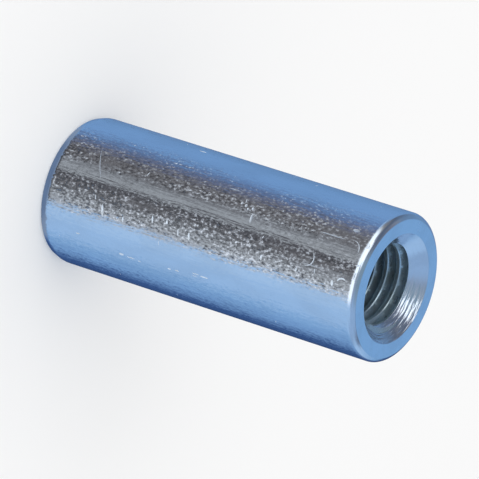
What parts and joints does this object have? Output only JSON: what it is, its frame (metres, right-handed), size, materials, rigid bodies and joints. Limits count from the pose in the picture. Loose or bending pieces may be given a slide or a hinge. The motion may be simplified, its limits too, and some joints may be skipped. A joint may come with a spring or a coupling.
{
  "type": "threaded rod reducer coupling",
  "caption": "Round zinc-plated steel reducer coupling with a threaded socket in each end, a smaller and a larger one, for joining threaded rods of different sizes end to end.",
  "frame": {"origin": "centre of the large end face, on which the coupling stands", "axes": "+Z along the bar, from the large end up to the small end; X and Y are any two directions across the round bar"},
  "size_m": [0.016, 0.016, 0.04],
  "materials": {
    "zinc_plated_steel": "bright zinc plate with a clear blue passivate over turned bar, with fine drawing lines and small nicks"
  },
  "bodies": {
    "root": {"reducer_coupling": "zinc_plated_steel"}
  },
  "joints": []
}
